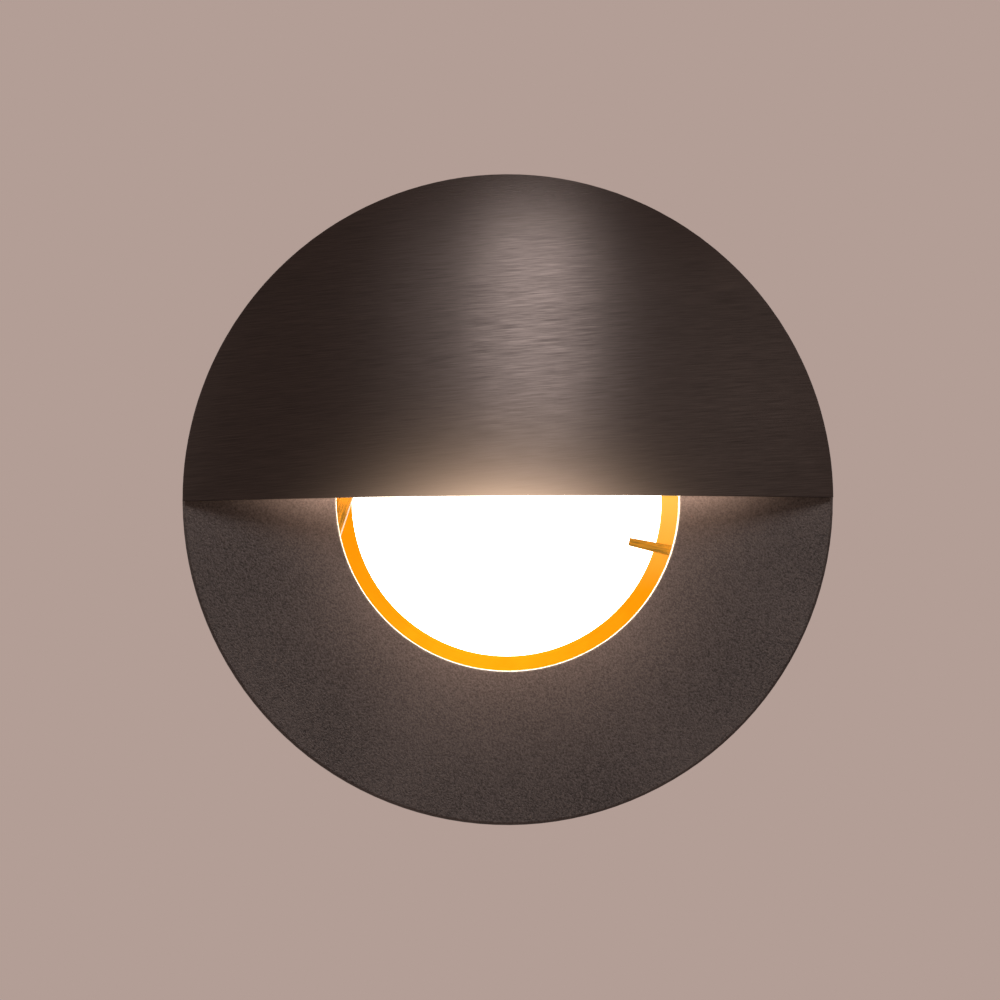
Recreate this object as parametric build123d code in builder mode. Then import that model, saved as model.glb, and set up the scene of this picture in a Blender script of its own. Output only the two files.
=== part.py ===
from build123d import *
from math import atan2, cos, degrees, pi, radians, sin, sqrt, tan
import os

# A round recessed step light for a wall. Its face is a flat plate with a round window, and half of a
# shallow dome hoods the window from above. Behind the plate a cast housing goes through the wall lining,
# and two sprung clips open behind the lining and pull the plate against it.
#
# Frame, in millimetres: +X to the right and +Z up as one looks at the face, +Y into the wall. The origin
# is on the lamp's axis, in the plane of the finished wall. "Across" is a place along X, "depth" along Y.

os.makedirs("parts", exist_ok=True)

# ---------------------------------------------------------------- driving dimensions

# Face plate, its skirt, and the foam ring between plate and wall
gasket_thickness = 1.0
plate_radius = 42.5
plate_thickness = 3.0
plate_edge_break = 0.3
opening_radius = 22.4
skirt_thickness = 1.7
skirt_depth = 6.0
skirt_gap = 0.12
gasket_width = 5.0
gasket_edge_margin = 1.0

# Hood
hood_rise = 11.0
hood_rim_height = 0.8
hood_thickness = 1.5
hood_edge_height = 0.0
hood_boss_radius = 2.5
hood_boss_inset = 3.72
hood_boss_angle = 60.0
hood_boss_count = 3
hood_screw_length = 7.5
countersink_angle = 90.0

# Set screws that hold the skirt to the housing
set_screw_radius = 1.5
set_screw_length = 3.0
set_screw_depth = 2.8
set_screw_count = 3
set_screw_start_angle = 90.0
set_screw_key_radius = 0.85
set_screw_key_depth = 1.5
set_groove_width = 3.2
set_groove_depth = 1.2

# Housing
lens_bore_step = 2.5
lens_bore_wall = 5.1
lens_ledge_width = 2.4
cavity_depth = 10.5
web_thickness = 4.0
chamber_wall = 7.0
component_room = 10.9
groove_setback = 0.8
snap_groove_width = 1.1
snap_groove_depth = 0.8
fin_count = 6
fin_slot_width = 1.6
fin_pitch = 3.2
fin_slot_depth = 2.0
fin_start = 3.5
pillar_radius = 2.5
pillar_height = 4.0
pillar_inset = 5.0
pillar_count = 3
pillar_start_angle = 90.0
housing_edge_break = 0.4

# Window stack: snap ring, lens ring, lens, seal, reflector
snap_ring_thickness = 0.9
snap_ring_width = 1.6
snap_ring_play = 0.15
finger_root_width = 1.6
finger_tip_width = 1.05
finger_length = 7.95
finger_root_angle = 16.9
finger_rise_angle = 12.65
kink_depth = 4.25
kink_foot_angle = 196.2
kink_peak_angle = 169.0
kink_head_angle = 151.3
kink_width = 1.9
window_cover = 2.1
lens_ring_thickness = 1.6
lens_ring_lip = 0.35
lens_ring_flare_cover = 0.5
bore_gap = 0.1
lens_flange_thickness = 2.0
lens_boss_height = 0.5
lens_window_gap = 0.1
lens_edge_break = 0.2
lens_seal_thickness = 1.3
lens_seal_width = 2.1
cup_gap = 0.1
cup_flange_gap = 0.2
cup_flange_thickness = 1.0
cup_flange_width = 1.7
cup_throat_radius = 12.5
cup_wall = 1.0

# Light source board
board_edge_gap = 1.0
board_thickness = 1.6
pad_edge_margin = 0.5
pad_thickness = 0.5
chip_size = 3.0
chip_height = 0.7
chip_ring_radius = 8.0
chip_count = 6
board_screw_edge = 2.3
board_screw_grip = 3.0

# Leads between the two boards, through the web
lead_radius = 0.6
lead_spacing = 1.8
lead_hole_edge = 3.9
lead_pad_across = 6.2
lead_pad_rise = 1.0
lead_bend_radius = 1.5
lead_board_gap = 0.05
board_wire_hole_radius = 2.4
grommet_bore_radius = 1.9
grommet_neck_radius = 2.6
grommet_flange_radius = 3.5
grommet_flange_thickness = 0.45
grommet_back_flange_thickness = 0.8
grommet_gap = 0.3

# Driver board and what is on it, as (across, height) of each piece's middle
driver_board_gap = 1.4
driver_board_thickness = 1.6
driver_screw_length = 4.6
transformer_place = (-5.8, -4.0)
transformer_core = (12.0, 4.6, 9.0)
transformer_winding = (9.0, 10.0, 6.4)
transformer_bobbin_thickness = 0.8
capacitor_place = (8.0, -5.0)
capacitor_radius = 4.0
capacitor_height = 9.0
capacitor_crimp_depth = 0.35
capacitor_crimp_height = 1.6
bridge_place = (-11.5, 8.0)
bridge_size = (6.0, 5.0, 2.2)
controller_place = (-9.5, -14.0)
controller_size = (4.0, 5.0, 1.5)
resistor_place = (9.5, -13.0)
resistor_size = (3.2, 1.6, 0.6)
resistor_spacing = 2.6
terminal_place = (3.2, 9.6)
terminal_size = (15.0, 8.0, 9.0)
terminal_poles = 3
terminal_pole_pitch = 4.8
terminal_wire_radius = 1.4
terminal_wire_height = 3.0
terminal_wire_reach = 5.5
terminal_well_radius = 1.7
terminal_well_depth = 4.0
terminal_screw_radius = 1.5
terminal_screw_height = 2.6
terminal_slot_width = 0.5
terminal_slot_depth = 0.7

# Rear cover, its seal, and the earth point on its inner face
cover_thickness = 3.0
cover_edge_break = 0.5
cover_seal_wall = 0.9
cover_seal_width = 1.1
cover_seal_depth = 0.9
seal_gap = 0.05
cover_screw_edge = 2.55
cover_screw_count = 4
cover_screw_start_angle = 45.0
cover_screw_grip = 6.5
earth_place = (-14.6, 0.0)
earth_tag_radius = 3.0
earth_tag_thickness = 0.8
earth_tag_tail = 8.0
earth_tag_tail_width = 2.6
earth_screw_grip = 2.0

# Cable gland
gland_thread_radius = 6.0
gland_bore_radius = 3.9
gland_hex_across_flats = 17.0
gland_flange_thickness = 4.0
gland_neck_radius = 6.8
gland_neck_length = 5.5
gland_socket_radius = 5.2
gland_socket_floor = 2.6
gland_seal_length = 7.4
cable_radius = 3.0
gland_nut_gap = 0.6
gland_nut_hex_length = 6.5
gland_nut_dome_length = 4.0
gland_nut_tip_radius = 5.4
gland_nut_mouth_radius = 3.6

# Sprung clips: a bracket on a flat of the housing, a pin, a coil spring and a blade
pocket_cut = 4.0
pocket_setback = 4.0
pocket_half_height = 7.7
pin_setback = 8.0
pin_radius = 1.0
pin_head_radius = 1.6
pin_head_thickness = 0.6
pin_running_gap = 0.05
bracket_thickness = 1.0
bracket_front_setback = 2.2
bracket_length = 19.8
ear_gap = 0.4
ear_radius = 2.8
ear_foot_half_width = 4.2
stop_reach = 2.55
stop_half_height = 3.6
bracket_screw_setback = 10.5
bracket_screw_height = 3.6
bracket_screw_grip = 2.5
wire_radius = 0.45
coil_radius = 2.2
coil_pitch = 1.4
coil_turns = 4
spring_base_gap = 0.15
spring_blade_gap = 0.05
blade_leg_length = 7.0
base_leg_length = 6.0
blade_rest_angle = -40.0
blade_thickness = 0.8
blade_half_width = 5.0
blade_root = 1.2
blade_reach = 14.0
blade_foot_radius = 1.6
blade_foot_angle = 130.0
blade_cheek_radius = 2.5
blade_cheek_reach = 6.0

# Screws and their holes
screw_radius = 1.25
screw_head_radius = 2.2
screw_head_height = 1.5
cover_screw_radius = 1.5
cover_screw_head_radius = 2.8
cover_screw_head_height = 1.8
countersunk_head_radius = 2.35
thread_gap = 0.02
hole_gap = 0.15
hole_spare_depth = 0.5
cross_width = 0.6
cross_share_of_head = 1.1
cross_depth = 0.8

# ---------------------------------------------------------------- depths and places worked out from them

window_radius = opening_radius - window_cover
lens_bore_radius = opening_radius + lens_bore_step
lens_ring_flare_radius = opening_radius + lens_ring_flare_cover
fitted_radius = lens_bore_radius - bore_gap
snap_groove_radius = lens_bore_radius + snap_groove_depth
cavity_radius = lens_bore_radius - lens_ledge_width
housing_radius = lens_bore_radius + lens_bore_wall
chamber_radius = housing_radius - chamber_wall
housing_flat = housing_radius - pocket_cut
skirt_inner_radius = housing_radius + skirt_gap
skirt_outer_radius = skirt_inner_radius + skirt_thickness
hood_boss_circle = skirt_inner_radius - hood_boss_inset
gasket_radius = plate_radius - gasket_edge_margin

cup_flange_radius = cavity_radius - cup_flange_gap
cup_mouth_radius = cup_flange_radius - cup_flange_width
board_radius = cavity_radius - board_edge_gap
pad_radius = board_radius - pad_edge_margin
board_screw_across = board_radius - board_screw_edge
lead_drop = board_radius - lead_hole_edge
pillar_circle = chamber_radius - pillar_inset
driver_board_radius = chamber_radius - driver_board_gap
cover_seal_inner_radius = chamber_radius + cover_seal_wall
cover_seal_outer_radius = cover_seal_inner_radius + cover_seal_width
cover_screw_circle = housing_radius - cover_screw_edge

plate_back = -gasket_thickness
plate_front = plate_back - plate_thickness
housing_front = plate_back
snap_groove_front = housing_front + groove_setback
lens_ring_front = snap_groove_front + snap_groove_width
lens_front = lens_ring_front + lens_ring_thickness
lens_back = lens_front + lens_flange_thickness
lens_seat = lens_back + lens_seal_thickness
web_front = lens_seat + cavity_depth
board_back = web_front - pad_thickness
board_front = board_back - board_thickness
web_back = web_front + web_thickness
driver_front = web_back + pillar_height
driver_back = driver_front + driver_board_thickness
housing_back = driver_back + component_room
cover_back = housing_back + cover_thickness

# The dome's outer and inner surfaces are spheres about one centre on the axis.
rim_front = plate_front - hood_rim_height
dome_front = rim_front - hood_rise
dome_radius = (plate_radius**2 + hood_rise**2) / (2 * hood_rise)
dome_centre = dome_front + dome_radius
hollow_radius = dome_radius - hood_thickness
hollow_foot = sqrt(hollow_radius**2 - (dome_centre - plate_front) ** 2)

pocket_front = skirt_depth + pocket_setback
pin_depth = pocket_front + pin_setback
bracket_face = housing_flat + bracket_thickness
pin_across = bracket_face + spring_base_gap + wire_radius + coil_radius
bracket_front = pocket_front + bracket_front_setback
ear_inner = blade_half_width + ear_gap
ear_outer = ear_inner + bracket_thickness
bracket_screw_depth = pin_depth + bracket_screw_setback
web_offset = coil_radius + wire_radius + spring_blade_gap + blade_thickness / 2


def facing_front(depth):
    """A sketch plane square to the lamp's axis that faces out of the wall: its x is +X, its y is +Z."""
    return Plane(origin=(0, depth, 0), x_dir=(1, 0, 0), z_dir=(0, -1, 0))


def facing_back(depth):
    """A sketch plane square to the lamp's axis that faces into the wall: its x is -X, its y is +Z."""
    return Plane(origin=(0, depth, 0), x_dir=(-1, 0, 0), z_dir=(0, 1, 0))


def facing_out(angle, radius, depth):
    """A plane that faces away from the lamp's axis, at this angle from +X towards +Z."""
    way = Vector(cos(radians(angle)), 0, sin(radians(angle)))
    return Plane(origin=way * radius + Vector(0, depth, 0), x_dir=(0, 1, 0), z_dir=way)


def turn(*points, mode=Mode.ADD):
    """Turns a half section, given as (radius, depth) points, about the lamp's axis."""
    with BuildSketch(Plane.XY) as section:
        with BuildLine():
            Polyline(*points, close=True)
        make_face()
    revolve(section.sketch, axis=Axis.Y, mode=mode)


def turn_ring(inner, outer, front, back, mode=Mode.ADD):
    """Turns a plain ring of the part in hand, or cuts one from it."""
    turn((inner, front), (outer, front), (outer, back), (inner, back), mode=mode)


def turn_dome(radius, foot_radius):
    """Turns a solid cap of the sphere of this radius about the dome's centre, with a flat foot."""
    def on_sphere(out):
        return (out, dome_centre - sqrt(radius**2 - out**2))

    with BuildSketch(Plane.XY) as section:
        with BuildLine():
            ThreePointArc(on_sphere(0), on_sphere(foot_radius / 2), on_sphere(foot_radius))
            Polyline(on_sphere(foot_radius), (0, on_sphere(foot_radius)[1]), on_sphere(0))
        make_face()
    revolve(section.sketch, axis=Axis.Y)


def bar(start, end, start_width, end_width):
    """A straight bar in the sketch in hand, between two points of its centre line, with square ends."""
    start, end = Vector(start), Vector(end)
    run = (end - start).normalized()
    across = Vector(-run.Y, run.X) / 2
    Polygon(
        start + across * start_width,
        start - across * start_width,
        end - across * end_width,
        end + across * end_width,
        align=None,
    )


def cut_cross(top, head_radius):
    """Cuts the cross recess into the top of a screw's head."""
    with Locations((0, 0, top)):
        Box(cross_share_of_head * head_radius, cross_width, 2 * cross_depth, mode=Mode.SUBTRACT)
        Box(cross_width, cross_share_of_head * head_radius, 2 * cross_depth, mode=Mode.SUBTRACT)


def pan_head_screw(
    length, shank_radius=screw_radius, head_radius=screw_head_radius, head_height=screw_head_height
):
    """A screw along its own Z, its head standing on zero and its shank below."""
    with BuildPart() as screw:
        Cylinder(head_radius, head_height, align=(Align.CENTER, Align.CENTER, Align.MIN))
        fillet(screw.edges().sort_by(Axis.Z)[-1], head_height / 3)
        Cylinder(shank_radius, length, align=(Align.CENTER, Align.CENTER, Align.MAX))
        cut_cross(head_height, head_radius)
    return screw.part


def countersunk_screw(shank_radius, head_radius, length):
    """A screw along its own Z, the flat top of its head at zero and everything else below."""
    head_height = (head_radius - shank_radius) / tan(radians(countersink_angle / 2))
    with BuildPart() as screw:
        Cone(shank_radius, head_radius, head_height, align=(Align.CENTER, Align.CENTER, Align.MAX))
        Cylinder(shank_radius, length, align=(Align.CENTER, Align.CENTER, Align.MAX))
        cut_cross(0, head_radius)
    return screw.part


def report_tube(name, part, path, radius):
    """Prints a tube's length, and its volume over its section times that length."""
    share = part.volume / (pi * radius**2 * path.length)
    print(name, "length", round(path.length, 2), "volume over section times length", round(share, 4))


def keep(label, part):
    """Names a finished piece and writes it out."""
    part.label = label
    export_step(part, f"parts/{label}.step")


# ---------------------------------------------------------------- face: plate, hood, gasket and their screws

with BuildPart() as face_plate:
    turn(
        (opening_radius + plate_edge_break, plate_front),
        (plate_radius - plate_edge_break, plate_front),
        (plate_radius, plate_front + plate_edge_break),
        (plate_radius, plate_back),
        (skirt_outer_radius, plate_back),
        (skirt_outer_radius, skirt_depth),
        (skirt_inner_radius, skirt_depth),
        (skirt_inner_radius, plate_back),
        (opening_radius, plate_back),
        (opening_radius, plate_front + plate_edge_break),
    )
    with Locations(facing_back(plate_back)):
        with PolarLocations(
            hood_boss_circle, hood_boss_count, 90 - hood_boss_angle, 2 * hood_boss_angle, endpoint=True
        ):
            CounterSinkHole(
                screw_radius + hole_gap,
                countersunk_head_radius + hole_gap,
                depth=plate_thickness,
                counter_sink_angle=countersink_angle,
            )
    for place in range(set_screw_count):
        set_angle = set_screw_start_angle + place * 360 / set_screw_count
        with Locations(facing_out(set_angle, skirt_outer_radius, set_screw_depth)):
            Hole(set_screw_radius + thread_gap, depth=skirt_thickness + skirt_gap)
keep("face_plate", face_plate.part)

# The hollow under the hood leaves the screw bosses standing.
with BuildPart() as hood_hollow:
    turn_dome(hollow_radius, hollow_foot)
    with Locations(facing_front(plate_front)):
        with PolarLocations(
            hood_boss_circle, hood_boss_count, 90 - hood_boss_angle, 2 * hood_boss_angle, endpoint=True
        ):
            Cylinder(
                hood_boss_radius,
                hood_rise + hood_rim_height,
                align=(Align.CENTER, Align.CENTER, Align.MIN),
                mode=Mode.SUBTRACT,
            )

with BuildPart() as hood:
    turn_dome(dome_radius, plate_radius)
    turn_ring(0, plate_radius, rim_front, plate_front)
    add(hood_hollow.part, mode=Mode.SUBTRACT)
    split(bisect_by=Plane.XY.offset(hood_edge_height), keep=Keep.TOP)
    with Locations(facing_back(plate_front)):
        with PolarLocations(
            hood_boss_circle, hood_boss_count, 90 - hood_boss_angle, 2 * hood_boss_angle, endpoint=True
        ):
            Hole(
                screw_radius + thread_gap,
                depth=hood_screw_length - plate_thickness + hole_spare_depth,
            )
keep("hood", hood.part)

with BuildPart() as hood_screws:
    with Locations(facing_back(plate_back)):
        with PolarLocations(
            hood_boss_circle, hood_boss_count, 90 - hood_boss_angle, 2 * hood_boss_angle, endpoint=True
        ):
            add(countersunk_screw(screw_radius, countersunk_head_radius, hood_screw_length))
keep("hood_screws", hood_screws.part)

# Headless screws with a round key socket, in through the skirt and into the housing's groove
with BuildPart() as bezel_set_screws:
    for place in range(set_screw_count):
        set_angle = set_screw_start_angle + place * 360 / set_screw_count
        with Locations(facing_out(set_angle, skirt_outer_radius, set_screw_depth)):
            Cylinder(set_screw_radius, set_screw_length, align=(Align.CENTER, Align.CENTER, Align.MAX))
            Cylinder(
                set_screw_key_radius,
                2 * set_screw_key_depth,
                mode=Mode.SUBTRACT,
            )
keep("bezel_set_screws", bezel_set_screws.part)

with BuildPart() as wall_gasket:
    turn_ring(gasket_radius - gasket_width, gasket_radius, plate_back, 0)
keep("wall_gasket", wall_gasket.part)

# ---------------------------------------------------------------- housing

with BuildPart() as housing:
    turn(
        (lens_bore_radius, housing_front),
        (housing_radius, housing_front),
        (housing_radius, housing_back - housing_edge_break),
        (housing_radius - housing_edge_break, housing_back),
        (chamber_radius, housing_back),
        (chamber_radius, web_back),
        (0, web_back),
        (0, web_front),
        (cavity_radius, web_front),
        (cavity_radius, lens_seat),
        (lens_bore_radius, lens_seat),
    )
    turn_ring(
        fitted_radius,
        snap_groove_radius,
        snap_groove_front,
        lens_ring_front,
        mode=Mode.SUBTRACT,
    )
    turn_ring(
        housing_radius - set_groove_depth,
        skirt_inner_radius,
        set_screw_depth - set_groove_width / 2,
        set_screw_depth + set_groove_width / 2,
        mode=Mode.SUBTRACT,
    )
    for slot in range(fin_count):
        slot_front = skirt_depth + fin_start + slot * fin_pitch
        turn_ring(
            housing_radius - fin_slot_depth,
            skirt_inner_radius,
            slot_front,
            slot_front + fin_slot_width,
            mode=Mode.SUBTRACT,
        )
    turn_ring(
        cover_seal_inner_radius - seal_gap,
        cover_seal_outer_radius + seal_gap,
        housing_back - cover_seal_depth,
        housing_back,
        mode=Mode.SUBTRACT,
    )
    with BuildSketch(facing_back(web_back)):
        with PolarLocations(pillar_circle, pillar_count, pillar_start_angle):
            Circle(pillar_radius)
    extrude(amount=pillar_height)
    # a flat-bottomed pocket down each side for the clips
    pocket_length = housing_back - pocket_front
    for side in (-1, 1):
        with Locations((side * (housing_flat + housing_radius / 2), pocket_front + pocket_length / 2, 0)):
            Box(housing_radius, pocket_length, 2 * pocket_half_height, mode=Mode.SUBTRACT)
        for height in (-bracket_screw_height, bracket_screw_height):
            clip_hole = Plane(origin=(side * housing_flat, bracket_screw_depth, height), z_dir=(side, 0, 0))
            with Locations(clip_hole):
                Hole(screw_radius + thread_gap, depth=bracket_screw_grip + hole_gap)
    with Locations(facing_back(driver_front)):
        with PolarLocations(pillar_circle, pillar_count, pillar_start_angle):
            Hole(
                screw_radius + thread_gap,
                depth=driver_screw_length - driver_board_thickness + hole_spare_depth,
            )
    with Locations(facing_back(housing_back)):
        with PolarLocations(cover_screw_circle, cover_screw_count, cover_screw_start_angle):
            Hole(cover_screw_radius + thread_gap, depth=cover_screw_grip + hole_spare_depth)
    with Locations(facing_front(web_front)):
        with Locations((-board_screw_across, 0), (board_screw_across, 0)):
            Hole(screw_radius + thread_gap, depth=board_screw_grip + hole_gap)
        with Locations((0, -lead_drop)):
            Hole(grommet_neck_radius, depth=web_thickness)
keep("housing", housing.part)

# ---------------------------------------------------------------- window: snap ring, lens and cup

# An open ring sprung into the housing's groove. Its two ends are bent in as fingers to squeeze it by, and
# opposite its gap it runs straight inwards and out again, which gives it its spring.
snap_ring_outer = snap_groove_radius - snap_ring_play
snap_ring_middle = snap_ring_outer - snap_ring_width / 2
kink_circle = snap_ring_outer - kink_width / 2
far = 2 * snap_ring_outer


def around(radius, angle):
    """A point of the face's sketch plane, from its radius and its angle from +X towards +Z."""
    return (radius * cos(radians(angle)), radius * sin(radians(angle)))


kink_foot = around(kink_circle, kink_foot_angle)
kink_peak = around(kink_circle - kink_depth, kink_peak_angle)
kink_head = around(kink_circle, kink_head_angle)

with BuildPart() as snap_ring:
    with BuildSketch(facing_front(lens_ring_front)):
        Circle(snap_ring_outer)
        Circle(snap_ring_outer - snap_ring_width, mode=Mode.SUBTRACT)
        # the gap between the fingers, and the stretch that the two straight runs replace
        for low, high in ((-finger_root_angle, finger_root_angle), (kink_head_angle, kink_foot_angle)):
            with BuildLine():
                Polyline((0, 0), around(far, low), around(far, high), close=True)
            make_face(mode=Mode.SUBTRACT)
        bar(kink_foot, kink_peak, kink_width, kink_width)
        bar(kink_peak, kink_head, kink_width, kink_width)
        with Locations(kink_foot, kink_peak, kink_head):
            Circle(kink_width / 2)
        for side in (-1, 1):
            root = Vector(*around(snap_ring_middle, side * finger_root_angle))
            tip = root + Vector(*around(finger_length, 180 + side * finger_rise_angle))
            bar(root, tip, finger_root_width, finger_tip_width)
            with Locations(root):
                Circle(finger_root_width / 2)
    extrude(amount=snap_ring_thickness)
keep("snap_ring", snap_ring.part)

with BuildPart() as lens_ring:
    turn(
        (lens_ring_flare_radius, lens_ring_front),
        (fitted_radius, lens_ring_front),
        (fitted_radius, lens_front),
        (window_radius, lens_front),
        (window_radius, lens_front - lens_ring_lip),
    )
keep("lens_ring", lens_ring.part)

lens_boss_radius = window_radius - lens_window_gap
lens_boss_front = lens_front - lens_boss_height
with BuildPart() as lens:
    turn(
        (0, lens_boss_front),
        (lens_boss_radius - lens_edge_break, lens_boss_front),
        (lens_boss_radius, lens_boss_front + lens_edge_break),
        (lens_boss_radius, lens_front),
        (fitted_radius, lens_front),
        (fitted_radius, lens_back),
        (0, lens_back),
    )
keep("lens", lens.part)

with BuildPart() as lens_seal:
    turn_ring(fitted_radius - lens_seal_width, fitted_radius, lens_back, lens_seat)
keep("lens_seal", lens_seal.part)

cup_front = lens_back + cup_gap
with BuildPart() as reflector_cup:
    turn(
        (cup_mouth_radius, cup_front),
        (cup_flange_radius, cup_front),
        (cup_flange_radius, cup_front + cup_flange_thickness),
        (cup_mouth_radius + cup_wall, cup_front + cup_flange_thickness),
        (cup_throat_radius + cup_wall, board_front),
        (cup_throat_radius, board_front),
    )
keep("reflector_cup", reflector_cup.part)

# ---------------------------------------------------------------- light source board

with BuildPart() as led_board:
    with BuildSketch(facing_front(board_back)):
        Circle(board_radius)
        with Locations((-board_screw_across, 0), (board_screw_across, 0)):
            Circle(screw_radius + hole_gap, mode=Mode.SUBTRACT)
        with Locations((0, -lead_drop)):
            Circle(board_wire_hole_radius, mode=Mode.SUBTRACT)
    extrude(amount=board_thickness)
keep("led_board", led_board.part)

with BuildPart() as led_chips:
    with BuildSketch(facing_front(board_front)):
        Rectangle(chip_size, chip_size)
        with PolarLocations(chip_ring_radius, chip_count):
            Rectangle(chip_size, chip_size)
    extrude(amount=chip_height)
keep("led_chips", led_chips.part)

with BuildPart() as thermal_pad:
    with BuildSketch(facing_front(web_front)):
        Circle(pad_radius)
        with Locations((-board_screw_across, 0), (board_screw_across, 0)):
            Circle(screw_radius + hole_gap, mode=Mode.SUBTRACT)
        with Locations((0, -lead_drop)):
            Circle(grommet_flange_radius + grommet_gap, mode=Mode.SUBTRACT)
    extrude(amount=pad_thickness)
keep("thermal_pad", thermal_pad.part)

with BuildPart() as board_screws:
    with Locations(facing_front(board_front)):
        with Locations((-board_screw_across, 0), (board_screw_across, 0)):
            add(pan_head_screw(board_thickness + pad_thickness + board_screw_grip))
keep("board_screws", board_screws.part)

# ---------------------------------------------------------------- grommet and leads

with BuildPart() as lead_grommet:
    with BuildSketch(facing_front(web_back)):
        with Locations((0, -lead_drop)):
            Circle(grommet_neck_radius)
            Circle(grommet_bore_radius, mode=Mode.SUBTRACT)
    extrude(amount=web_thickness)
    with BuildSketch(facing_front(web_front)):
        with Locations((0, -lead_drop)):
            Circle(grommet_flange_radius)
            Circle(grommet_bore_radius, mode=Mode.SUBTRACT)
    extrude(amount=grommet_flange_thickness)
    with BuildSketch(facing_back(web_back)):
        with Locations((0, -lead_drop)):
            Circle(grommet_flange_radius)
            Circle(grommet_bore_radius, mode=Mode.SUBTRACT)
    extrude(amount=grommet_back_flange_thickness)
keep("lead_grommet", lead_grommet.part)

# Each lead lies on the light board from its solder pad, turns into the grommet and runs to the driver.
lead_depth = board_front - lead_board_gap - lead_radius
for side, lead_name in ((-1, "black_lead"), (1, "red_lead")):
    lead_points = (
        (side * lead_pad_across, lead_depth, lead_pad_rise - lead_drop),
        (side * lead_spacing / 2, lead_depth, -lead_drop),
        (side * lead_spacing / 2, driver_front, -lead_drop),
    )
    with BuildPart() as lead:
        with BuildLine() as route:
            FilletPolyline(*lead_points, radius=lead_bend_radius)
        lead_path = route.wire()
        with BuildSketch(Plane(origin=lead_path @ 0, z_dir=lead_path % 0)):
            Circle(lead_radius)
        sweep(path=lead_path)
    report_tube(lead_name, lead.part, lead_path, lead_radius)
    print(lead_name, "bend radius", lead_bend_radius)
    keep(lead_name, lead.part)

# ---------------------------------------------------------------- driver board


def stand_on_driver(place, size):
    """A block that stands on the driver board, its size given across, upwards and into the wall."""
    across, height = place
    wide, tall, deep = size
    with Locations((across, driver_back + deep / 2, height)):
        Box(wide, deep, tall)


with BuildPart() as driver_board:
    with BuildSketch(facing_back(driver_front)):
        Circle(driver_board_radius)
        with PolarLocations(pillar_circle, pillar_count, pillar_start_angle):
            Circle(screw_radius + hole_gap, mode=Mode.SUBTRACT)
    extrude(amount=driver_board_thickness)
keep("driver_board", driver_board.part)

with BuildPart() as driver_screws:
    with Locations(facing_back(driver_back)):
        with PolarLocations(pillar_circle, pillar_count, pillar_start_angle):
            add(pan_head_screw(driver_screw_length))
keep("driver_screws", driver_screws.part)

with BuildPart() as driver_transformer:
    stand_on_driver(transformer_place, transformer_core)
    stand_on_driver(transformer_place, transformer_winding)
    stand_on_driver(
        transformer_place, (transformer_core[0], transformer_winding[1], transformer_bobbin_thickness)
    )
keep("driver_transformer", driver_transformer.part)

capacitor_foot = Plane(
    origin=(capacitor_place[0], driver_back, capacitor_place[1]), x_dir=(1, 0, 0), z_dir=(0, 1, 0)
)
with BuildPart() as driver_capacitor:
    with BuildSketch(capacitor_foot):
        Circle(capacitor_radius)
    extrude(amount=capacitor_height)
    fillet(driver_capacitor.edges().sort_by(Axis.Y)[-1], capacitor_crimp_depth)
    with BuildSketch(capacitor_foot.offset(capacitor_crimp_height)):
        Circle(capacitor_radius)
        Circle(capacitor_radius - capacitor_crimp_depth, mode=Mode.SUBTRACT)
    extrude(amount=2 * capacitor_crimp_depth, mode=Mode.SUBTRACT)
keep("driver_capacitor", driver_capacitor.part)

with BuildPart() as driver_chips:
    stand_on_driver(bridge_place, bridge_size)
    stand_on_driver(controller_place, controller_size)
    stand_on_driver(resistor_place, resistor_size)
    stand_on_driver((resistor_place[0], resistor_place[1] - resistor_spacing), resistor_size)
keep("driver_chips", driver_chips.part)

# The wires go in at the block's upper side, and a screw over each way in clamps the wire.
terminal_top = terminal_place[1] + terminal_size[1] / 2
terminal_well = Plane(
    origin=(terminal_place[0], driver_back + terminal_size[2], terminal_place[1]),
    x_dir=(1, 0, 0),
    z_dir=(0, 1, 0),
)
with BuildPart() as terminal_block:
    stand_on_driver(terminal_place, terminal_size)
    with Locations(terminal_well):
        with GridLocations(terminal_pole_pitch, 1, terminal_poles, 1):
            Hole(terminal_well_radius, depth=terminal_well_depth)
    with Locations(
        Plane(
            origin=(terminal_place[0], driver_back + terminal_wire_height, terminal_top),
            x_dir=(1, 0, 0),
            z_dir=(0, 0, 1),
        )
    ):
        with GridLocations(terminal_pole_pitch, 1, terminal_poles, 1):
            Hole(terminal_wire_radius, depth=terminal_wire_reach)
keep("terminal_block", terminal_block.part)

with BuildPart() as terminal_screws:
    with Locations(terminal_well.offset(-terminal_well_depth)):
        with GridLocations(terminal_pole_pitch, 1, terminal_poles, 1):
            Cylinder(
                terminal_screw_radius,
                terminal_screw_height,
                align=(Align.CENTER, Align.CENTER, Align.MIN),
            )
    with Locations(terminal_well.offset(terminal_screw_height - terminal_well_depth)):
        with GridLocations(terminal_pole_pitch, 1, terminal_poles, 1):
            Box(2 * terminal_screw_radius, terminal_slot_width, 2 * terminal_slot_depth, mode=Mode.SUBTRACT)
keep("terminal_screws", terminal_screws.part)

# ---------------------------------------------------------------- rear cover, earth point and gland

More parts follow.
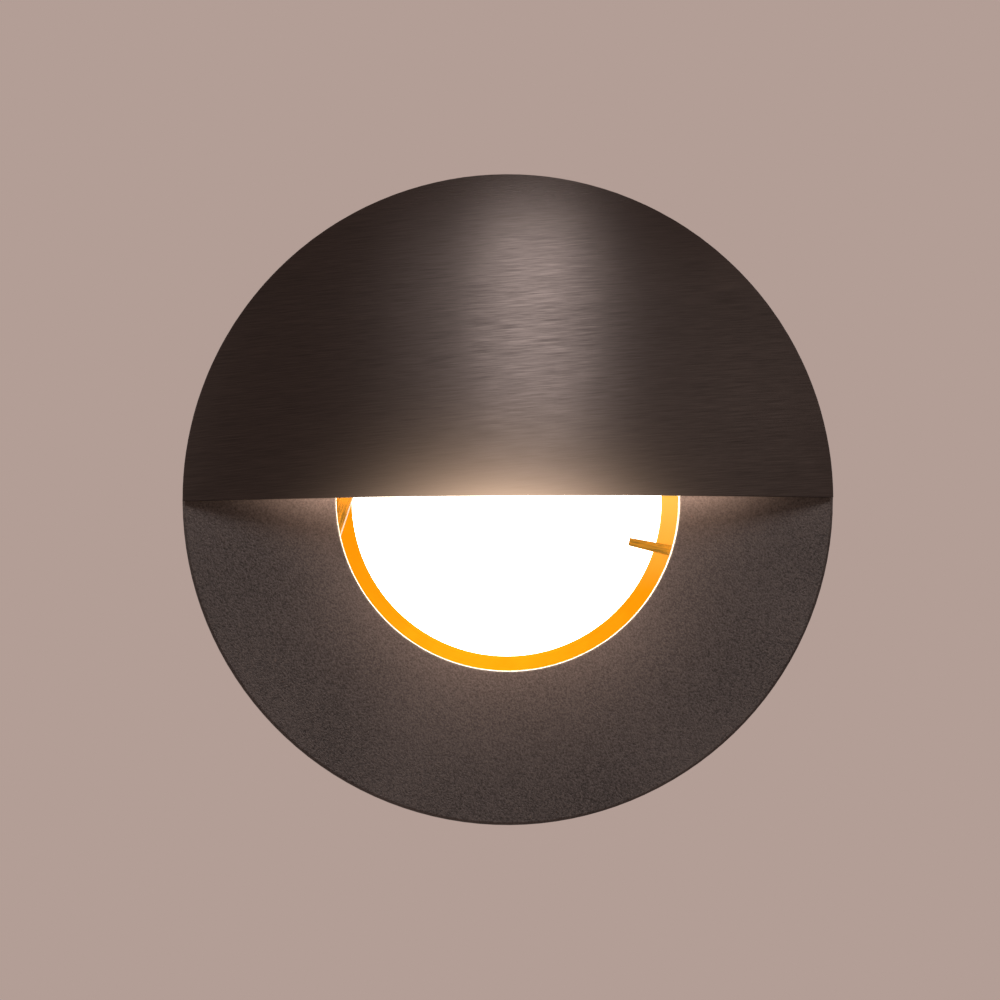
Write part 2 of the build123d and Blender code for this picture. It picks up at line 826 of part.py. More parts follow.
earth_plane = Plane(
    origin=(earth_place[0], housing_back, earth_place[1]), x_dir=(1, 0, 0), z_dir=(0, -1, 0)
)
with BuildPart() as rear_cover:
    turn(
        (0, housing_back),
        (housing_radius, housing_back),
        (housing_radius, cover_back - cover_edge_break),
        (housing_radius - cover_edge_break, cover_back),
        (0, cover_back),
    )
    for side in (-1, 1):
        with Locations((side * (housing_flat + housing_radius / 2), (housing_back + cover_back) / 2, 0)):
            Box(housing_radius, 2 * cover_thickness, 2 * pocket_half_height, mode=Mode.SUBTRACT)
    with Locations(facing_back(cover_back)):
        Hole(gland_thread_radius + thread_gap, depth=cover_thickness)
        with PolarLocations(cover_screw_circle, cover_screw_count, cover_screw_start_angle):
            Hole(cover_screw_radius + hole_gap, depth=cover_thickness)
    with Locations(earth_plane):
        Hole(screw_radius + thread_gap, depth=earth_screw_grip + hole_gap)
keep("rear_cover", rear_cover.part)

with BuildPart() as cover_seal:
    turn_ring(
        cover_seal_inner_radius,
        cover_seal_outer_radius,
        housing_back - cover_seal_depth,
        housing_back,
    )
keep("cover_seal", cover_seal.part)

with BuildPart() as cover_screws:
    with Locations(facing_back(cover_back)):
        with PolarLocations(cover_screw_circle, cover_screw_count, cover_screw_start_angle):
            add(
                pan_head_screw(
                    cover_thickness + cover_screw_grip,
                    cover_screw_radius,
                    cover_screw_head_radius,
                    cover_screw_head_height,
                )
            )
keep("cover_screws", cover_screws.part)

with BuildPart() as earth_tag:
    with BuildSketch(earth_plane):
        Circle(earth_tag_radius)
        with Locations((0, -earth_tag_tail / 2)):
            Rectangle(earth_tag_tail_width, earth_tag_tail)
        Circle(screw_radius + hole_gap, mode=Mode.SUBTRACT)
    extrude(amount=earth_tag_thickness)
keep("earth_tag", earth_tag.part)

with BuildPart() as earth_screw:
    with Locations(earth_plane.offset(earth_tag_thickness)):
        add(pan_head_screw(earth_tag_thickness + earth_screw_grip))
keep("earth_screw", earth_screw.part)

gland_flange_back = cover_back + gland_flange_thickness
gland_neck_back = gland_flange_back + gland_neck_length
gland_socket_front = cover_back + gland_socket_floor
gland_seal_back = gland_socket_front + gland_seal_length
gland_nut_front = gland_flange_back + gland_nut_gap
gland_nut_shoulder = gland_nut_front + gland_nut_hex_length
gland_nut_back = gland_nut_shoulder + gland_nut_dome_length
hex_corner_radius = gland_hex_across_flats / 2 / cos(radians(30))

with BuildPart() as gland_body:
    turn_ring(0, gland_thread_radius, housing_back, cover_back)
    with BuildSketch(facing_back(cover_back)):
        RegularPolygon(hex_corner_radius, 6)
    extrude(amount=gland_flange_thickness)
    turn_ring(0, gland_neck_radius, gland_flange_back, gland_neck_back)
    turn_ring(0, gland_socket_radius, gland_socket_front, gland_neck_back, mode=Mode.SUBTRACT)
    turn_ring(0, gland_bore_radius, housing_back, gland_socket_front, mode=Mode.SUBTRACT)
keep("gland_body", gland_body.part)

with BuildPart() as gland_seal:
    turn_ring(cable_radius, gland_socket_radius - seal_gap, gland_socket_front, gland_seal_back)
keep("gland_seal", gland_seal.part)

# The cap nut's hexagon runs into a dome, and its floor presses on the rubber.
with BuildPart() as gland_nut:
    with BuildSketch(facing_back(gland_nut_front)):
        RegularPolygon(hex_corner_radius, 6)
    extrude(amount=gland_nut_hex_length)
    turn(
        (0, gland_nut_shoulder),
        (gland_hex_across_flats / 2, gland_nut_shoulder),
        (gland_nut_tip_radius + gland_nut_dome_length / 4, gland_nut_back - gland_nut_dome_length / 4),
        (gland_nut_tip_radius, gland_nut_back),
        (0, gland_nut_back),
    )
    turn_ring(0, gland_neck_radius + thread_gap, gland_nut_front, gland_seal_back, mode=Mode.SUBTRACT)
    turn_ring(0, gland_nut_mouth_radius, gland_seal_back, gland_nut_back, mode=Mode.SUBTRACT)
keep("gland_nut", gland_nut.part)

# ---------------------------------------------------------------- sprung clips, drawn for the right side

clip_axis = Plane(origin=(pin_across, pin_depth, 0), x_dir=(1, 0, 0), z_dir=(0, 0, 1))
blade_plane = Plane(
    origin=(pin_across, pin_depth, 0),
    x_dir=(cos(radians(blade_rest_angle)), sin(radians(blade_rest_angle)), 0),
    z_dir=(0, 0, 1),
)

# The base is screwed to the housing's flat, an ear stands above and below the blade, and a lip in front
# is the stop that the blade rests against.
with BuildPart() as clip_bracket:
    with Locations(
        (housing_flat + bracket_thickness / 2, bracket_front + bracket_length / 2, 0)
    ):
        Box(bracket_thickness, bracket_length, 2 * ear_outer)
    for ear_bottom in (ear_inner, -ear_outer):
        with BuildSketch(clip_axis.offset(ear_bottom)):
            with BuildLine():
                Polyline(
                    (bracket_face - pin_across, -ear_foot_half_width),
                    (0, -ear_radius),
                    (0, ear_radius),
                    (bracket_face - pin_across, ear_foot_half_width),
                    close=True,
                )
            make_face()
            Circle(ear_radius)
            Circle(pin_radius + thread_gap, mode=Mode.SUBTRACT)
        extrude(amount=bracket_thickness)
    with Locations(
        (bracket_face + stop_reach / 2, bracket_front + bracket_thickness / 2, 0)
    ):
        Box(stop_reach, bracket_thickness, 2 * stop_half_height)
    for height in (-bracket_screw_height, bracket_screw_height):
        base_hole = Plane(origin=(bracket_face, bracket_screw_depth, height), z_dir=(1, 0, 0))
        with Locations(base_hole):
            Hole(screw_radius + hole_gap, depth=bracket_thickness)

with BuildPart() as clip_pin:
    with Locations(clip_axis):
        Cylinder(pin_radius, 2 * ear_outer)
    for head_bottom in (ear_outer, -ear_outer - pin_head_thickness):
        with Locations(clip_axis.offset(head_bottom)):
            Cylinder(pin_head_radius, pin_head_thickness, align=(Align.CENTER, Align.CENTER, Align.MIN))

with BuildPart() as clip_screws:
    for height in (-bracket_screw_height, bracket_screw_height):
        with Locations(Plane(origin=(bracket_face, bracket_screw_depth, height), z_dir=(1, 0, 0))):
            add(pan_head_screw(bracket_thickness + bracket_screw_grip))

# Seen along the pin, the blade is a strip that passes in front of the coil and curls back at its foot.
with BuildPart() as clip_blade:
    with BuildSketch(blade_plane.offset(-blade_half_width)):
        with BuildLine():
            blade_run = Line((blade_root, -web_offset), (blade_reach, -web_offset))
            JernArc(blade_run @ 1, blade_run % 1, blade_foot_radius, blade_foot_angle)
            offset(amount=blade_thickness / 2, side=Side.BOTH, kind=Kind.ARC)
        make_face()
    extrude(amount=2 * blade_half_width)
    for cheek_bottom in (-blade_half_width, blade_half_width - blade_thickness):
        with BuildSketch(blade_plane.offset(cheek_bottom)):
            Circle(blade_cheek_radius)
            with Locations(((blade_root + blade_cheek_reach) / 2, -web_offset)):
                Rectangle(blade_cheek_reach - blade_root, blade_thickness)
            make_hull()
            Circle(pin_radius + pin_running_gap, mode=Mode.SUBTRACT)
        extrude(amount=blade_thickness)


def biarc(start, start_way, end, end_way):
    """Two arcs in the line in hand, from start to end, that leave and arrive along the given ways."""
    chord = end - start
    along = chord.dot(start_way + end_way)
    spread = 2 * (start_way.dot(end_way) - 1)
    reach = (along - sqrt(along**2 - spread * chord.dot(chord))) / spread
    first_corner = start + start_way * reach
    last_corner = end - end_way * reach
    meeting = (first_corner + last_corner) / 2
    TangentArc(start, meeting, tangent=start_way)
    TangentArc(meeting, end, tangent=last_corner - first_corner)


# The spring winds round the pin from the leg behind the blade to the leg on the base. Folding the blade
# back winds it up. Its blade end leaves the coil square to the blade's own line at rest.
blade_leg_place = blade_rest_angle - 90
coil_sweep = blade_leg_place + 180 + 360 * coil_turns
coil_rise = coil_pitch * coil_sweep / 360
coil_pieces = round(coil_sweep / 90)


def on_coil(wound):
    """The point of the wire's middle line after this many degrees of winding from the blade's leg."""
    place = radians(blade_leg_place - wound)
    return Vector(
        pin_across + coil_radius * cos(place),
        pin_depth + coil_radius * sin(place),
        coil_pitch * wound / 360 - coil_rise / 2,
    )


def along_coil(wound):
    """The way the wire runs at that point."""
    place = radians(blade_leg_place - wound)
    return Vector(coil_radius * sin(place), -coil_radius * cos(place), coil_pitch / (2 * pi)).normalized()


def least_gap(path, tube_radius, loop_length, samples=500):
    """The least clear distance of a wound tube to itself, on points a half loop or more apart."""
    points = [path.position_at(place / samples) for place in range(samples + 1)]
    apart = int(samples * loop_length / 2 / path.length) + 1
    nearest = min(
        (points[first] - points[second]).length
        for first in range(samples + 1)
        for second in range(first + apart, samples + 1)
    )
    return nearest - 2 * tube_radius


with BuildPart() as clip_spring:
    with BuildLine() as spring_route:
        Line(on_coil(0) - along_coil(0) * blade_leg_length, on_coil(0))
        for piece in range(coil_pieces):
            wound_before = coil_sweep * piece / coil_pieces
            wound_after = coil_sweep * (piece + 1) / coil_pieces
            biarc(
                on_coil(wound_before),
                along_coil(wound_before),
                on_coil(wound_after),
                along_coil(wound_after),
            )
        Line(on_coil(coil_sweep), on_coil(coil_sweep) + along_coil(coil_sweep) * base_leg_length)
    spring_path = spring_route.wire()
    with BuildSketch(Plane(origin=spring_path @ 0, z_dir=spring_path % 0)):
        Circle(wire_radius)
    sweep(path=spring_path)
report_tube("clip spring", clip_spring.part, spring_path, wire_radius)
coil_gap = least_gap(spring_path, wire_radius, 2 * pi * coil_radius)
print("clip spring: least gap to itself", round(coil_gap, 3), "turns", round(coil_sweep / 360, 2))

for side in ("left", "right"):
    for piece_name, drawn in (
        ("clip_bracket", clip_bracket),
        ("clip_pin", clip_pin),
        ("clip_spring", clip_spring),
        ("clip_blade", clip_blade),
        ("clip_screws", clip_screws),
    ):
        with BuildPart() as handed:
            add(drawn.part)
            if side == "left":
                mirror(about=Plane.YZ, mode=Mode.REPLACE)
        keep(f"{side}_{piece_name}", handed.part)
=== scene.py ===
# %% [markdown]
# # A hooded step light, dressed for its portrait
# The lamp is a round metal face for a wall or a stair side. Half of a shallow dome covers its upper half and
# throws the light down. The solid pieces come ready made and to size from the CAD model. This lesson gives
# them their finishes, makes the few pieces that a solid can't show well, and then lights them.

from math import cos, radians, sin

import bmesh
import bpy
from mathutils import Matrix, Vector


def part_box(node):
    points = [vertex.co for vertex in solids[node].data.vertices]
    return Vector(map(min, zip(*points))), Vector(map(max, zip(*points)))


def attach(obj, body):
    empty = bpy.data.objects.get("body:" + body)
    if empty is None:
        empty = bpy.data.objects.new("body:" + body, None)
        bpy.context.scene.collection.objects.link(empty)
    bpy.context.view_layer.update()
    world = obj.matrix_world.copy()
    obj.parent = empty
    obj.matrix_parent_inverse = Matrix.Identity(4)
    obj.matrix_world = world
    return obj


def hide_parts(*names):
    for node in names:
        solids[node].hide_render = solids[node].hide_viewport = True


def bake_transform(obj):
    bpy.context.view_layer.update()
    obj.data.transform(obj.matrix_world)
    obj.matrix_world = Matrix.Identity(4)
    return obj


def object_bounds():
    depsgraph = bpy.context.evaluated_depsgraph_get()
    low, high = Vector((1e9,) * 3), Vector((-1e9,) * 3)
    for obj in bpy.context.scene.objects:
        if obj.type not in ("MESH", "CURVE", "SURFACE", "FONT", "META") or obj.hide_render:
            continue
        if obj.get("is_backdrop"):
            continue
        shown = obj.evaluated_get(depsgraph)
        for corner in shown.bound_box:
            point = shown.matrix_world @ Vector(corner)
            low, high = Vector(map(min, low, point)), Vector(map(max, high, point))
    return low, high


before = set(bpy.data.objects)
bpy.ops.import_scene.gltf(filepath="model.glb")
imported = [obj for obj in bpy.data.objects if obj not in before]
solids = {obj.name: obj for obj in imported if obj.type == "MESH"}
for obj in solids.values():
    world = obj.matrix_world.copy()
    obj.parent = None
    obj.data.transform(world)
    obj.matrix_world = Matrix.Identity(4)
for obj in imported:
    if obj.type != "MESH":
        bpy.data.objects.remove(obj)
cad_box = [list(corner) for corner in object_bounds()]
print("box of the solids", [[round(v, 4) for v in corner] for corner in cad_box])

# %% [markdown]
# ## The camera
# The picture was taken from far off with a long lens, nearly square to the face and a little below it. It is
# 1000 pixels wide, and one pixel is 0.1306 mm on the face. A long lens from 1.5 m keeps the round face round.
# The face sits 8 pixels right of the picture's middle and 0.7 pixels above it, so the camera is aimed that
# much to the other side, and it is tilted by under half a degree, as a hand-held camera is.

# %% Camera
mm = 0.001
pixel, pixels_wide = 0.1306 * mm, 1000
distance = 1.5
azimuth, elevation, roll = radians(-1.5), radians(-2.5), radians(-0.4)
face_middle = Vector((0, -4 * mm, 0))
face_to_right, face_upwards = 8.0 * pixel, 0.7 * pixel

to_camera = Vector((sin(azimuth) * cos(elevation), -cos(azimuth) * cos(elevation), sin(elevation)))
camera = bpy.data.objects.new("portrait_camera", bpy.data.cameras.new("portrait_camera"))
bpy.context.scene.collection.objects.link(camera)
turned = (-to_camera).to_track_quat("-Z", "Y").to_matrix() @ Matrix.Rotation(roll, 3, "Z")
aim = face_middle - face_to_right * turned.col[0] - face_upwards * turned.col[1]
camera.matrix_world = Matrix.LocRotScale(aim + distance * to_camera, turned.to_quaternion(), None)
camera.data.lens = camera.data.sensor_width * distance / (pixels_wide * pixel)
bpy.context.scene.camera = camera
print("lens", round(camera.data.lens, 1), "mm, camera at", [round(v, 3) for v in camera.location])

# %% [markdown]
# ## Helpers for the finishes
# Every finish is a small tree of nodes on top of one Principled shader. One function adds a node, sets what
# it is told and links what it is given. Colours are written as the hex values that one reads off a screen,
# and a second function turns them to the linear values that the renderer adds up. A pattern shades each
# finish between a dark and a light colour, and between a smooth and a rough gloss, and it raises the surface
# a little. Many materials need only one noise for all three, so they share a function. Patterns are measured
# in millimetres: a noise with a scale of 1 / 0.3 has grains of about 0.3 mm.

# %% Helpers for the finishes
def linear(hex_colour):
    """The linear colour of an sRGB hex value such as "8f8a82"."""
    parts = [int(hex_colour[i : i + 2], 16) / 255 for i in (0, 2, 4)]
    return [p / 12.92 if p <= 0.04045 else ((p + 0.055) / 1.055) ** 2.4 for p in parts] + [1.0]


def add(tree, kind, sockets, **settings):
    """Adds a node. Each socket, by name or number, gets a value or is linked to another node's output."""
    node = tree.nodes.new(kind)
    for name, value in settings.items():
        setattr(node, name, value)
    for name, value in sockets.items():
        if isinstance(value, bpy.types.NodeSocket):
            tree.links.new(value, node.inputs[name])
        else:
            node.inputs[name].default_value = value
    return node


def start_finish(name, **sockets):
    """A new material with its shader, and the point on the piece in millimetres for its patterns to read.
    The shader's sockets are given by name, with _ for a space."""
    material = bpy.data.materials.new(name)
    material.use_nodes = True
    tree = material.node_tree
    shader = tree.nodes["Principled BSDF"]
    for socket, value in sockets.items():
        shader.inputs[socket.replace("_", " ")].default_value = value
    where = add(tree, "ShaderNodeTexCoord", {}).outputs["Object"]
    in_mm = (1 / mm, 1 / mm, 1 / mm)
    place = add(tree, "ShaderNodeMapping", {"Vector": where, "Scale": in_mm}).outputs[0]
    return material, tree, shader, place


def finish_with(tree, shader, shade, dark, light, grain, depth, gloss=None, edge=0.12):
    """Lets one pattern shade the colour and the gloss, and another raise the surface by its depth in mm.
    The gloss is the roughness at the dark end and at the light end. The edge, in mm, is how far a sharp edge
    is rounded for the light that falls on it."""
    colour = add(
        tree, "ShaderNodeMix", {0: shade, 6: linear(dark), 7: linear(light)}, data_type="RGBA"
    ).outputs[2]
    tree.links.new(colour, shader.inputs["Base Color"])
    if gloss:
        roughness = add(tree, "ShaderNodeMapRange", {"Value": shade, "To Min": gloss[0], "To Max": gloss[1]})
        tree.links.new(roughness.outputs[0], shader.inputs["Roughness"])
    rounded = add(tree, "ShaderNodeBevel", {"Radius": edge * mm}, samples=4).outputs[0]
    raised = add(tree, "ShaderNodeBump", {"Height": grain, "Distance": depth * mm, "Normal": rounded})
    tree.links.new(raised.outputs[0], shader.inputs["Normal"])


def speckled(name, dark, light, grain, depth, gloss=None, edge=0.12, detail=3.0, **sockets):
    """A finish with one noise, of grains of this size in mm, for its colour, its gloss and its depth."""
    material, tree, shader, place = start_finish(name, **sockets)
    noise = add(tree, "ShaderNodeTexNoise", {"Vector": place, "Scale": 1 / grain, "Detail": detail}).outputs[0]
    finish_with(tree, shader, noise, dark, light, noise, depth, gloss, edge)
    return material


def give(material, *names):
    """Puts a finish on solid pieces, in all the slots that they came with."""
    for name in names:
        slots = solids[name].data.materials
        if not slots:
            slots.append(material)
        for place in range(len(slots)):
            slots[place] = material
    print(material.name, "->", ", ".join(names))


# %% [markdown]
# ## Face plate: sand-blasted, dark bronze anodised aluminium
# The lower half of the face is matt. Blasting leaves dents about a quarter of a millimetre across, and the
# dark bronze film lies over them, so the metal glints faintly in places and never mirrors. A noise with grains
# of that size shades it and dents it, and a far broader one stands for the film's uneven thickness. The
# opening's edge was turned after the film was on, so it is bare and bright: all that lies within 22.5 mm of
# the axis.
#
# The lens is so bright that the eye, like a camera, sees a warm veil round it, and the hood throws its light
# down on to the plate. Both are painted on the plate as a warm glow in its emission. The painted glow falls
# to a third every 5.2 mm from the opening, and it is strongest straight below, where the hood throws most of
# the light. Right under the hood a second, wider painted glow lies beside the lens and lightens the hood's
# shadow there. It fades in 2.7 mm downwards and halves 6.3 mm out to the side, and past 8.5 mm it drops
# faster. Only the plate's front has them, and its dents shade them too.

# %% Face plate finish
dent_size, film_patch, dent_depth = 0.24, 20.0, 0.065
opening, bare_edge, just_behind_front = 22.4, 22.5, -3.6
below_strength, below_fade, below_narrow = 0.118, 5.2, 0.7
side_strength, side_fade, side_half = 0.35, 2.7, 6.3
drop_start, drop_end, drop_to, drop_lean = 8.5, 15.0, 0.4, 0.5

# The emission colour is the warm tint of the painted glow.
blasted, tree, shader, place = start_finish(
    "blasted_bronze_anodised_aluminium", Metallic=0.8, Emission_Color=linear("ffcfb6")
)
dents = add(
    tree, "ShaderNodeTexNoise", {"Vector": place, "Scale": 1 / dent_size, "Detail": 3.0, "Roughness": 0.65}
).outputs[0]
film = add(tree, "ShaderNodeTexNoise", {"Vector": place, "Scale": 1 / film_patch, "Detail": 1.0}).outputs[0]
shade = add(tree, "ShaderNodeMix", {0: 0.2, 2: dents, 3: film}).outputs[0]
shade = add(tree, "ShaderNodeMapRange", {"Value": shade, "From Min": 0.34, "From Max": 0.66}).outputs[0]
finish_with(tree, shader, shade, "231e1d", "4d4441", dents, dent_depth, gloss=(0.42, 0.62))
from_axis = add(tree, "ShaderNodeVectorMath", {0: place, 1: (1, 0, 1)}, operation="MULTIPLY").outputs[0]
reach = add(tree, "ShaderNodeVectorMath", {0: from_axis}, operation="LENGTH").outputs["Value"]
turned_edge = add(tree, "ShaderNodeMath", {0: reach, 1: bare_edge}, operation="LESS_THAN").outputs[0]
filmed = shader.inputs["Base Color"].links[0].from_socket
bare = add(
    tree, "ShaderNodeMix", {0: turned_edge, 6: filmed, 7: linear("f6f1e8")}, data_type="RGBA"
).outputs[2]
tree.links.new(bare, shader.inputs["Base Color"])

# The painted glow round the lens and under the hood, laid into the plate's emission.
beside = add(tree, "ShaderNodeMath", {0: reach, 1: opening}, operation="SUBTRACT").outputs[0]
fading = add(tree, "ShaderNodeMath", {0: beside, 1: -below_fade}, operation="DIVIDE").outputs[0]
round_lens = add(tree, "ShaderNodeMath", {0: fading}, operation="EXPONENT").outputs[0]
parts = add(tree, "ShaderNodeSeparateXYZ", {0: place})
lower = add(tree, "ShaderNodeMath", {0: parts.outputs["Z"], 1: -1.0}, operation="MULTIPLY").outputs[0]
below = add(tree, "ShaderNodeMath", {0: lower, 1: reach}, operation="DIVIDE", use_clamp=True).outputs[0]
below = add(tree, "ShaderNodeMath", {0: below, 1: below_narrow}, operation="POWER").outputs[0]
round_lens = add(tree, "ShaderNodeMath", {0: round_lens, 1: below}, operation="MULTIPLY").outputs[0]

wide = add(tree, "ShaderNodeMath", {0: beside, 1: side_half}, operation="DIVIDE").outputs[0]
spread = add(tree, "ShaderNodeMath", {0: wide, 1: wide, 2: 1.0}, operation="MULTIPLY_ADD").outputs[0]
from_hood = add(tree, "ShaderNodeMath", {0: parts.outputs["Z"]}, operation="ABSOLUTE").outputs[0]
downwards = add(tree, "ShaderNodeMath", {0: from_hood, 1: -side_fade}, operation="DIVIDE").outputs[0]
falling = add(tree, "ShaderNodeMath", {0: downwards}, operation="EXPONENT").outputs[0]
under_hood = add(tree, "ShaderNodeMath", {0: falling, 1: spread}, operation="DIVIDE").outputs[0]
under_hood = add(tree, "ShaderNodeMath", {0: under_hood, 1: side_strength}, operation="MULTIPLY").outputs[0]
slant = add(
    tree, "ShaderNodeMath", {0: from_hood, 1: drop_lean, 2: beside}, operation="MULTIPLY_ADD"
).outputs[0]
drop = {"Value": slant, "From Min": drop_start, "From Max": drop_end, "To Min": 1.0, "To Max": drop_to}
close = add(tree, "ShaderNodeMapRange", drop).outputs[0]
under_hood = add(tree, "ShaderNodeMath", {0: under_hood, 1: close}, operation="MULTIPLY").outputs[0]

painted_glow = add(
    tree, "ShaderNodeMath", {0: round_lens, 1: below_strength, 2: under_hood}, operation="MULTIPLY_ADD"
).outputs[0]
grainy = add(tree, "ShaderNodeMapRange", {"Value": shade, "To Min": 0.72, "To Max": 1.28}).outputs[0]
painted_glow = add(tree, "ShaderNodeMath", {0: painted_glow, 1: grainy}, operation="MULTIPLY").outputs[0]
in_front = add(
    tree, "ShaderNodeMath", {0: parts.outputs["Y"], 1: just_behind_front}, operation="LESS_THAN"
).outputs[0]
strength = add(tree, "ShaderNodeMath", {0: painted_glow, 1: in_front}, operation="MULTIPLY").outputs[0]
tree.links.new(strength, shader.inputs["Emission Strength"])
give(blasted, "face_plate")

# %% [markdown]
# ## Hood: brushed, dark bronze anodised aluminium
# The hood was brushed from side to side. Each scratch lies along X, so the gloss is drawn out across the
# scratches, and a lamp shows in it as an upright band. The noise is stretched to thin lines: 0.14 mm apart,
# about a pixel of the picture, and some 5 mm long, rising by four degrees as a hand-held belt leaves them.
# The brighter scratches are also the glossier ones, so they show most in the band. Over the top 17 mm the belt
# pressed less and less, so the gloss tightens by a third and the band narrows. The shader's tangent is set
# across the scratches, from the surface's own normal and the X axis. Over the lens, the same warm veil as on
# the plate is painted as a glow in the hood's emission. It fades upwards in 3.9 mm, and to the sides as a bell
# curve 9.8 mm wide with its middle 0.8 mm left of the lamp's.

# %% Hood finish
scratch_gap, scratch_length, scratch_rise = 0.14, 34, radians(-4)
broad_patch, scratch_depth = 3.0, 0.004
eased_from, eased_to, eased_gloss = 25.5, 42.5, 0.65
veil_strength, veil_fade, veil_width, veil_left = 0.58, 3.9, 9.8, 0.8

# The emission colour is the warm tint of the painted glow over the lens.
brushed, tree, shader, place = start_finish(
    "brushed_bronze_anodised_aluminium", Metallic=1.0, Anisotropic=0.68, Emission_Color=linear("ffd6b4")
)
scratches = add(
    tree,
    "ShaderNodeMapping",
    {"Vector": place, "Rotation": (0, scratch_rise, 0), "Scale": (scratch_length, 1000, 1)},
    vector_type="TEXTURE",
).outputs[0]
lines = add(
    tree,
    "ShaderNodeTexNoise",
    {"Vector": scratches, "Scale": 1 / scratch_gap, "Detail": 3.0, "Roughness": 0.7},
).outputs[0]
broad = add(
    tree, "ShaderNodeTexNoise", {"Vector": scratches, "Scale": 1 / broad_patch, "Detail": 2.0}
).outputs[0]
shade = add(tree, "ShaderNodeMix", {0: 0.15, 2: lines, 3: broad}).outputs[0]
shade = add(tree, "ShaderNodeMapRange", {"Value": shade, "From Min": 0.3, "From Max": 0.7}).outputs[0]
finish_with(tree, shader, shade, "342e2c", "463e3b", lines, scratch_depth, gloss=(0.45, 0.35))
normal = add(tree, "ShaderNodeNewGeometry", {}).outputs["Normal"]
across = add(tree, "ShaderNodeVectorMath", {0: normal, 1: (1, 0, 0)}, operation="CROSS_PRODUCT").outputs[0]
tree.links.new(across, shader.inputs["Tangent"])

parts = add(tree, "ShaderNodeSeparateXYZ", {0: place})
brushing = shader.inputs["Roughness"].links[0].from_socket
ease = {"Value": parts.outputs["Z"], "From Min": eased_from, "From Max": eased_to, "To Min": 1.0}
easing = add(tree, "ShaderNodeMapRange", {**ease, "To Max": eased_gloss}).outputs[0]
gloss = add(tree, "ShaderNodeMath", {0: brushing, 1: easing}, operation="MULTIPLY").outputs[0]
tree.links.new(gloss, shader.inputs["Roughness"])

# The painted glow over the lens, in the hood's emission.
upwards = add(tree, "ShaderNodeMath", {0: parts.outputs["Z"], 1: -veil_fade}, operation="DIVIDE").outputs[0]
aside = add(tree, "ShaderNodeMath", {0: parts.outputs["X"], 1: veil_left}, operation="ADD").outputs[0]
aside = add(tree, "ShaderNodeMath", {0: aside, 1: veil_width * 2**0.5}, operation="DIVIDE").outputs[0]
squared = add(tree, "ShaderNodeMath", {0: aside, 1: aside}, operation="MULTIPLY").outputs[0]
falling = add(tree, "ShaderNodeMath", {0: upwards, 1: squared}, operation="SUBTRACT").outputs[0]
painted_veil = add(tree, "ShaderNodeMath", {0: falling}, operation="EXPONENT").outputs[0]
strength = add(tree, "ShaderNodeMath", {0: painted_veil, 1: veil_strength}, operation="MULTIPLY").outputs[0]
tree.links.new(strength, shader.inputs["Emission Strength"])

# %% [markdown]
# ## Under the hood: bare pressed aluminium
# The film was only needed outside. Inside, the hood is satin aluminium as it came from the press, and it
# throws the lens's light down on to the plate. Faint stretch marks a few millimetres long cross it.

# %% Finish inside the hood
pressed, tree, shader, place = start_finish("satin_pressed_aluminium", Metallic=1.0)
stretch = add(
    tree, "ShaderNodeTexNoise", {"Vector": place, "Scale": 1 / 2.5, "Detail": 4.0, "Roughness": 0.6}
).outputs[0]
finish_with(tree, shader, stretch, "a39b90", "c9c2b8", stretch, 0.012, gloss=(0.34, 0.52))
print("made", brushed.name, "and", pressed.name)

# %% [markdown]
# ## Lens: frosted opal polycarbonate, lit from behind
# The lens is lit so strongly that the picture shows it as plain white. The light comes from the plastic
# itself here, which stands for the light board behind it, and the frost shows as a fine grain when the eye
# is close. Its glow reaches the gold ring, the bore and the inside of the hood, as the real one's does.

# %% Lens finish
opal = speckled(
    "frosted_opal_polycarbonate",
    "ece6da",
    "fbf8f2",
    grain=0.25,
    depth=0.01,
    gloss=(0.38, 0.55),
    detail=2.0,
    Emission_Strength=6.0,
    Emission_Color=linear("fff1dc"),
)
give(opal, "lens")

# %% [markdown]
# ## Lens ring: gold anodised aluminium
# The ring round the lens is turned on a lathe, so it carries fine rings about the lamp's axis. In the picture
# it is a deep, even orange all round, because the lens's glow fills it, so a share of that glow is its own
# here. On the right, in the last 12 mm up to the hood, the lens's glare pales it to cream. A wave in rings
# about the axis, 0.3 mm apart, is the lathe's track: the wave node draws a ring every 0.314 units. A noise
# stands for the dye.

# %% Lens ring finish
track_gap, ring_of_wave, glare_reach = 0.3, 0.314, 12.0

gold, tree, shader, place = start_finish("gold_anodised_aluminium", Metallic=1.0, Emission_Strength=0.8)
track = add(
    tree,
    "ShaderNodeTexWave",
    {"Vector": place, "Scale": ring_of_wave / track_gap, "Distortion": 0.3, "Detail": 1.0},
    wave_type="RINGS",
    rings_direction="Y",
).outputs["Fac"]
dye = add(tree, "ShaderNodeTexNoise", {"Vector": place, "Scale": 1 / 3.0, "Detail": 2.0}).outputs[0]
finish_with(tree, shader, dye, "8e4604", "b0620c", track, 0.002, gloss=(0.44, 0.56))
parts = add(tree, "ShaderNodeSeparateXYZ", {0: place})
up_to_hood = add(
    tree, "ShaderNodeMapRange", {"Value": parts.outputs["Z"], "From Min": -glare_reach, "From Max": 0.0}
).outputs[0]
on_right = add(tree, "ShaderNodeMath", {0: parts.outputs["X"], 1: 0.0}, operation="GREATER_THAN").outputs[0]
glare = add(tree, "ShaderNodeMath", {0: up_to_hood, 1: on_right}, operation="MULTIPLY").outputs[0]
glow = add(
    tree, "ShaderNodeMix", {0: glare, 6: linear("ff9400"), 7: linear("ffd05c")}, data_type="RGBA"
).outputs[2]
tree.links.new(glow, shader.inputs["Emission Color"])
give(gold, "lens_ring")
